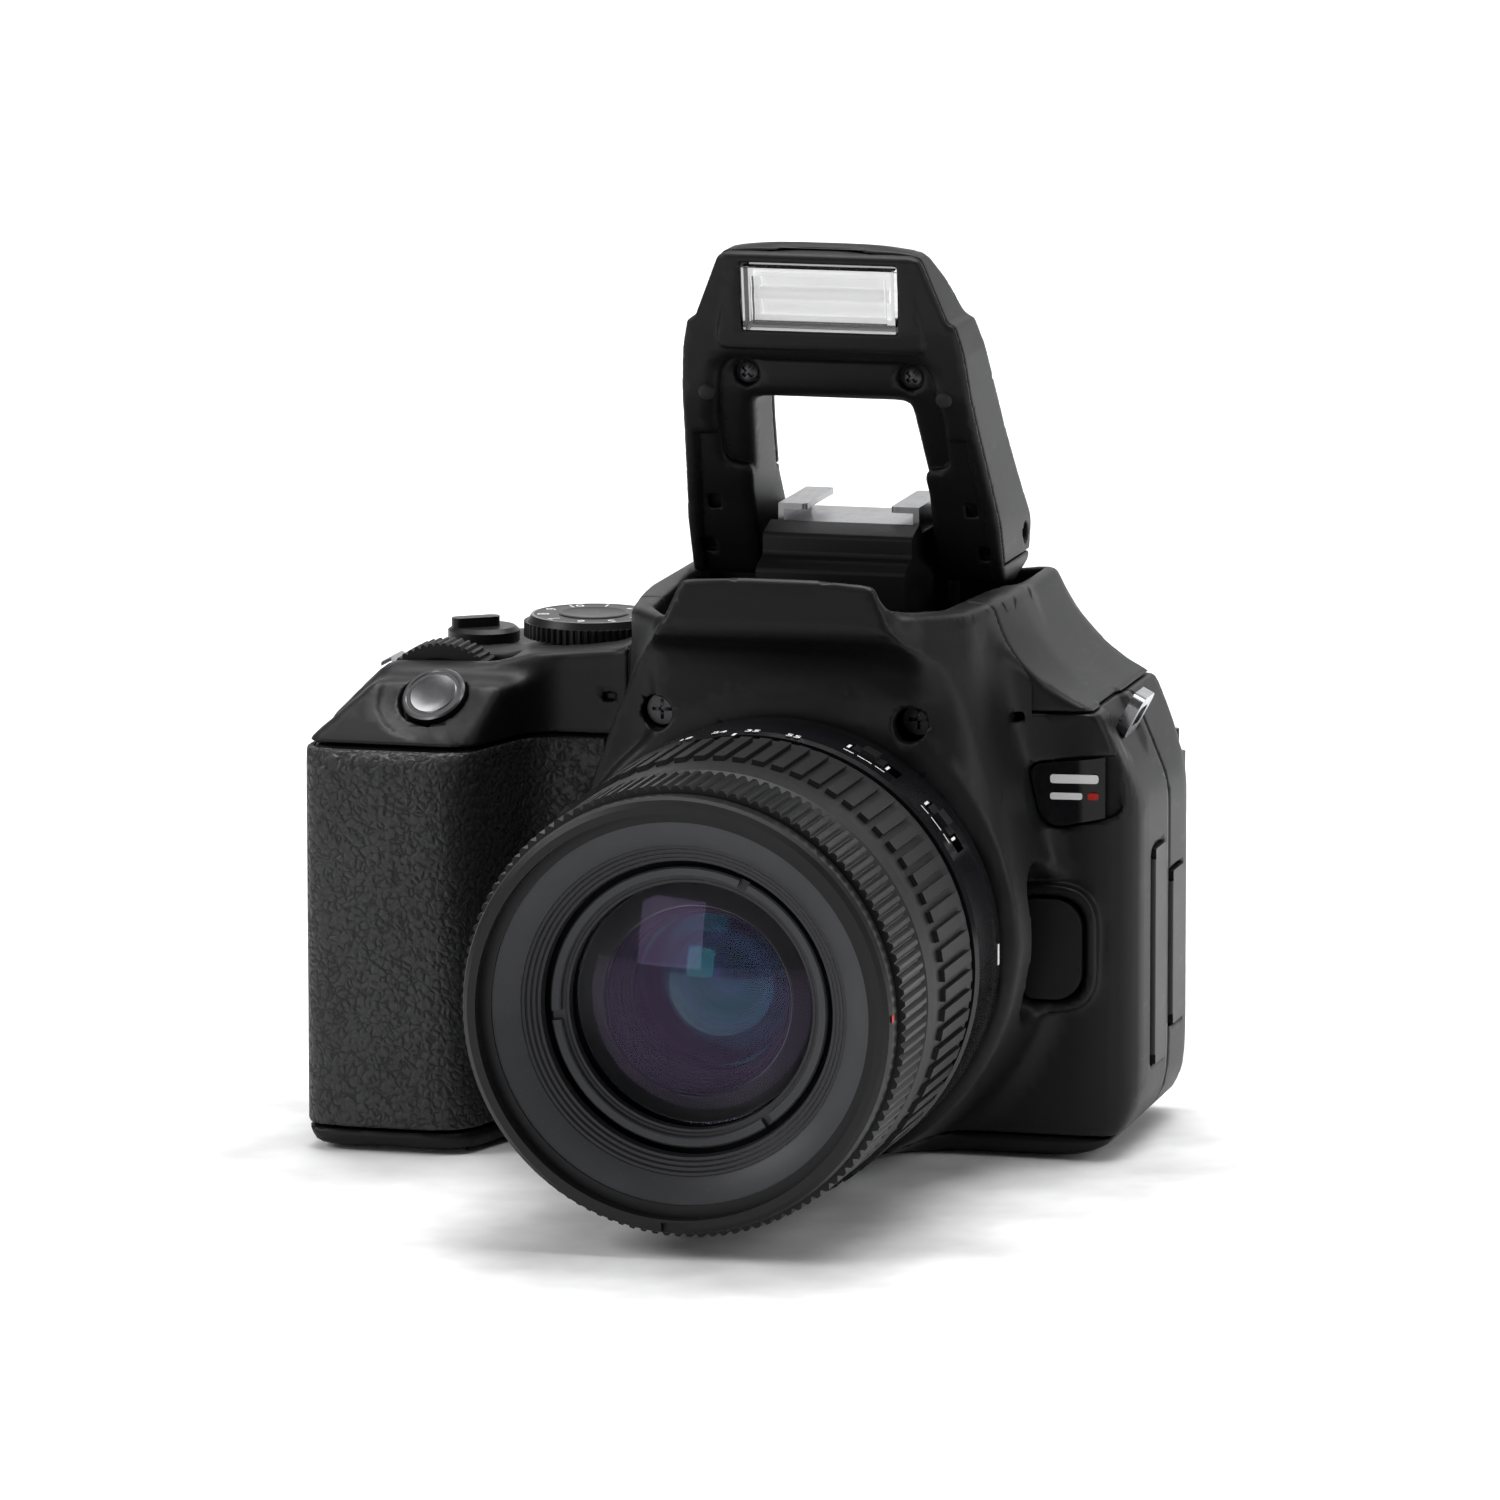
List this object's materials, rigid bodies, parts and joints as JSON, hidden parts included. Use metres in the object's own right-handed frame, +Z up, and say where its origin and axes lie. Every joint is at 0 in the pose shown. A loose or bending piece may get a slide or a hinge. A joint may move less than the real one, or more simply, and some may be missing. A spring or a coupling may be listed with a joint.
{
  "type": "single-lens reflex camera",
  "caption": "Compact reflex camera with a zoom lens, raised pop-up flash, leather-grained hand grip, top dials and a fold-out monitor.",
  "frame": {"origin": "mouth of the tripod socket in the base, on the lens axis", "axes": "+Z up, the lens looks along -Y, the hand grip is on the -X side"},
  "size_m": [0.1224, 0.128, 0.1337],
  "materials": {
    "covers": "fine satin texture",
    "grip": "leather-like grain",
    "satin_parts": "satin",
    "gloss_parts": "semi gloss",
    "spun_metal": "spun, dark",
    "shoe_metal": "brushed",
    "lug_metal": "polished",
    "mount_metal": "satin",
    "screw_metal": "blackened",
    "clear_window": "clear, ribbed",
    "optics": "coated",
    "silvered": "front-silvered",
    "boards": "printed circuit",
    "battery_shell": "satin",
    "card_shell": "gloss",
    "display": "gloss black",
    "inner_frame": "matte black",
    "curtain_metal": "matte"
  },
  "bodies": {
    "camera_body": {"bottom_cover": "covers", "front_cover": "covers", "top_cover": "covers", "rear_cover": "covers", "grip_rubber": "grip", "badge_plate": "gloss_parts", "strap_lugs": "lug_metal", "prism_block": "covers", "hot_shoe": "shoe_metal", "terminals": "mount_metal", "tripod_socket": "mount_metal", "chassis": "inner_frame", "mount_ring": "mount_metal", "focusing_screen": "clear_window", "pentamirror": "inner_frame", "eyepiece_lens": "optics", "eyecup": "grip", "shutter_unit": "inner_frame", "image_sensor": "optics", "main_board": "boards", "battery": "battery_shell", "memory_card": "card_shell", "body_screws": "screw_metal", "lens_mount": "satin_parts", "rear_barrel": "gloss_parts", "rear_group": "optics"},
    "flash": {"flash_frame": "covers", "flash_cover": "covers", "flash_lens": "clear_window", "flash_lamp": "silvered"},
    "monitor": {"monitor_arm": "satin_parts", "monitor_case": "covers", "monitor_glass": "display"},
    "zoom": {"zoom_ring": "satin_parts"},
    "front_lens": {"front_barrel": "satin_parts", "name_ring": "satin_parts", "front_glass": "optics"},
    "focus_ring": {"focus_ring": "satin_parts"},
    "focus_group": {"focus_group": "optics"},
    "shutter_button": {"shutter_button": "spun_metal"},
    "main_dial": {"main_dial": "satin_parts"},
    "mode_dial": {"mode_dial": "satin_parts"},
    "power_switch": {"power_switch": "satin_parts"},
    "menu_button": {"menu_button": "satin_parts"},
    "live_view_button": {"live_view_button": "satin_parts"},
    "ae_lock_button": {"ae_lock_button": "satin_parts"},
    "playback_button": {"playback_button": "satin_parts"},
    "cross_keys": {"cross_keys": "satin_parts"},
    "set_button": {"set_button": "satin_parts"},
    "battery_door": {"battery_door": "covers"},
    "door_latch": {"door_latch": "satin_parts"},
    "mic_door": {"mic_door": "grip"},
    "hdmi_door": {"hdmi_door": "grip"},
    "lens_release": {"lens_release": "satin_parts"},
    "reflex_mirror": {"reflex_mirror": "silvered"},
    "sub_mirror": {"sub_mirror": "silvered"},
    "shutter_curtain": {"shutter_curtain": "curtain_metal"},
    "af_switch": {"af_switch": "satin_parts"},
    "stabilizer_switch": {"stabilizer_switch": "satin_parts"},
    "diopter_dial": {"diopter_dial": "satin_parts"}
  },
  "joints": [
    {"name": "flash_lift", "type": "hinge", "parent": "camera_body", "child": "flash", "pos_m": [0, 0.0165, 0.0875], "axis": [1, 0, 0], "range_deg": [0, 62], "stiffness_Nm_per_rad": 0.02, "springref_deg": -68.75},
    {"name": "shutter_press", "type": "slide", "parent": "camera_body", "child": "shutter_button", "axis": [0.127, 0.6637, -0.7371], "range_m": [0, 0.0012], "stiffness_N_per_m": 300},
    {"name": "main_dial_turn", "type": "hinge", "parent": "camera_body", "child": "main_dial", "pos_m": [-0.0575, -0.012, 0.0626], "axis": [0, 1, 0], "continuous": true},
    {"name": "mode_dial_turn", "type": "hinge", "parent": "camera_body", "child": "mode_dial", "pos_m": [-0.0384, 0.001, 0.072], "axis": [0, 0, 1], "continuous": true},
    {"name": "power_switch_turn", "type": "hinge", "parent": "camera_body", "child": "power_switch", "pos_m": [-0.0565, 0.005, 0.0699], "axis": [0, 0, 1], "range_deg": [0, 50]},
    {"name": "menu_press", "type": "slide", "parent": "camera_body", "child": "menu_button", "axis": [0, -1, 0], "range_m": [0, 0.0008], "stiffness_N_per_m": 250},
    {"name": "live_view_press", "type": "slide", "parent": "camera_body", "child": "live_view_button", "axis": [0, -1, 0], "range_m": [0, 0.0008], "stiffness_N_per_m": 250},
    {"name": "ae_lock_press", "type": "slide", "parent": "camera_body", "child": "ae_lock_button", "axis": [0, -1, 0], "range_m": [0, 0.0008], "stiffness_N_per_m": 250},
    {"name": "playback_press", "type": "slide", "parent": "camera_body", "child": "playback_button", "axis": [0, -1, 0], "range_m": [0, 0.0008], "stiffness_N_per_m": 250},
    {"name": "cross_keys_press", "type": "slide", "parent": "camera_body", "child": "cross_keys", "axis": [0, -1, 0], "range_m": [0, 0.0006], "stiffness_N_per_m": 250},
    {"name": "set_press", "type": "slide", "parent": "camera_body", "child": "set_button", "axis": [0, -1, 0], "range_m": [0, 0.0006], "stiffness_N_per_m": 250},
    {"name": "diopter_turn", "type": "hinge", "parent": "camera_body", "child": "diopter_dial", "pos_m": [0.0189, 0.0222, 0.076], "axis": [0, 1, 0], "range_deg": [-120, 120]},
    {"name": "monitor_swing", "type": "hinge", "parent": "camera_body", "child": "monitor", "pos_m": [0.0445, 0.0246, 0.032], "axis": [0, 0, -1], "range_deg": [0, 175]},
    {"name": "battery_door_swing", "type": "hinge", "parent": "camera_body", "child": "battery_door", "pos_m": [-0.04955, 0, 0.00095], "axis": [0, -1, 0], "range_deg": [0, 90]},
    {"name": "door_latch_slide", "type": "slide", "parent": "battery_door", "child": "door_latch", "axis": [0, 1, 0], "range_m": [0, 0.0025]},
    {"name": "mic_door_swing", "type": "hinge", "parent": "camera_body", "child": "mic_door", "pos_m": [0.04805, -0.00585, 0.0287], "axis": [0, 0, -1], "range_deg": [0, 90]},
    {"name": "hdmi_door_swing", "type": "hinge", "parent": "camera_body", "child": "hdmi_door", "pos_m": [0.04805, 0.00615, 0.0279], "axis": [0, 0, -1], "range_deg": [0, 90]},
    {"name": "lens_release_press", "type": "slide", "parent": "camera_body", "child": "lens_release", "axis": [0, 1, 0], "range_m": [0, 0.002], "stiffness_N_per_m": 300},
    {"name": "mirror_swing", "type": "hinge", "parent": "camera_body", "child": "reflex_mirror", "pos_m": [0, -0.0016, 0.048], "axis": [-1, 0, 0], "range_deg": [0, 45]},
    {"name": "sub_mirror_fold", "type": "hinge", "parent": "reflex_mirror", "child": "sub_mirror", "pos_m": [0, -0.01086, 0.03534], "axis": [-1, 0, 0], "range_deg": [0, 90.5]},
    {"name": "curtain_drop", "type": "slide", "parent": "camera_body", "child": "shutter_curtain", "axis": [0, 0, -1], "range_m": [0, 0.0172]},
    {"name": "zoom_turn", "type": "hinge", "parent": "camera_body", "child": "zoom", "pos_m": [0, -0.065, 0.0348], "axis": [0, -1, 0], "range_deg": [0, 70]},
    {"name": "barrel_extend", "type": "slide", "parent": "camera_body", "child": "front_lens", "axis": [0, -1, 0], "range_m": [0, 0.0201]},
    {"name": "focus_turn", "type": "hinge", "parent": "front_lens", "child": "focus_ring", "pos_m": [0, -0.087, 0.0348], "axis": [0, -1, 0], "continuous": true},
    {"name": "focus_travel", "type": "slide", "parent": "front_lens", "child": "focus_group", "axis": [0, -1, 0], "range_m": [-0.0015, 0.0015]},
    {"name": "af_switch_slide", "type": "slide", "parent": "camera_body", "child": "af_switch", "axis": [0.8829, 0, -0.4695], "range_m": [0, 0.0024]},
    {"name": "stabilizer_switch_slide", "type": "slide", "parent": "camera_body", "child": "stabilizer_switch", "axis": [0.6157, 0, -0.788], "range_m": [0, 0.0024]}
  ],
  "couplings": [
    {"joint": "sub_mirror_fold", "follows": "mirror_swing", "ratio": 2},
    {"joint": "barrel_extend", "follows": "zoom_turn", "m_per_rad": 0.01637}
  ]
}
